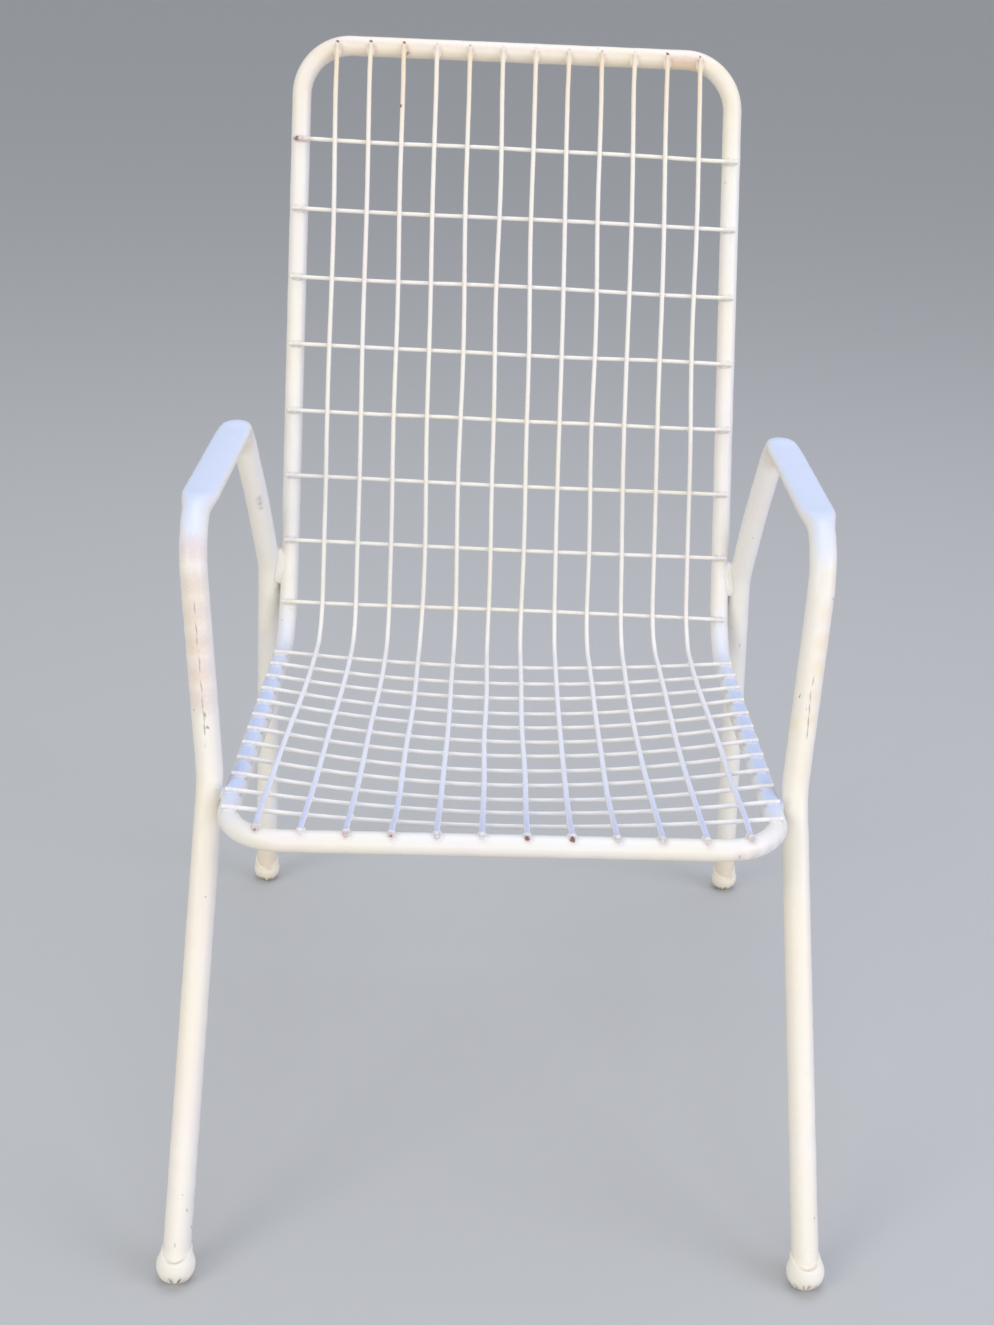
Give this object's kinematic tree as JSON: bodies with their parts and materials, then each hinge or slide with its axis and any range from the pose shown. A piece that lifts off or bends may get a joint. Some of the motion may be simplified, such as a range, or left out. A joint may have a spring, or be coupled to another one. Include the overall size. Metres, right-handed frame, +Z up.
{
  "type": "wire grid garden armchair",
  "caption": "High-backed garden armchair: a bent tube hoop filled with a welded wire grid, carried by two bent tube side frames with flattened armrests and rubber foot caps.",
  "frame": {"origin": "on the floor, under the middle of the chair's outline seen from above", "axes": "+Z up, -Y towards the sitter's knees (the front), +X to the right of somebody who stands in front and looks at the chair"},
  "size_m": [0.5994, 0.8092, 0.9632],
  "materials": {
    "paint": "thick cream-white satin enamel, brushed over more than once, with small chips, rust spots at the wire ends and grey scuffs",
    "wire_paint": "cream-white satin enamel on wire, yellowed a little in places",
    "foot_cap": "dull off-white rubber, scuffed and stained where it meets the floor"
  },
  "bodies": {
    "root": {"seat_back_hoop": "paint", "column_wire_01": "wire_paint", "column_wire_02": "wire_paint", "column_wire_03": "wire_paint", "column_wire_04": "wire_paint", "column_wire_05": "wire_paint", "column_wire_06": "wire_paint", "column_wire_07": "wire_paint", "column_wire_08": "wire_paint", "column_wire_09": "wire_paint", "column_wire_10": "wire_paint", "column_wire_11": "wire_paint", "column_wire_12": "wire_paint", "back_row_wire_01": "wire_paint", "back_row_wire_02": "wire_paint", "back_row_wire_03": "wire_paint", "back_row_wire_04": "wire_paint", "back_row_wire_05": "wire_paint", "back_row_wire_06": "wire_paint", "back_row_wire_07": "wire_paint", "back_row_wire_08": "wire_paint", "seat_row_wire_01": "wire_paint", "seat_row_wire_02": "wire_paint", "seat_row_wire_03": "wire_paint", "seat_row_wire_04": "wire_paint", "seat_row_wire_05": "wire_paint", "seat_row_wire_06": "wire_paint", "seat_row_wire_07": "wire_paint", "seat_row_wire_08": "wire_paint", "seat_row_wire_09": "wire_paint", "seat_row_wire_10": "wire_paint", "seat_row_wire_11": "wire_paint", "seat_row_wire_12": "wire_paint", "right_side_frame": "paint", "left_side_frame": "paint", "right_front_corner_weld": "paint", "left_front_corner_weld": "paint", "right_back_rail_weld": "paint", "left_back_rail_weld": "paint", "right_front_foot_cap": "foot_cap", "left_front_foot_cap": "foot_cap", "right_rear_foot_cap": "foot_cap", "left_rear_foot_cap": "foot_cap"}
  },
  "joints": []
}
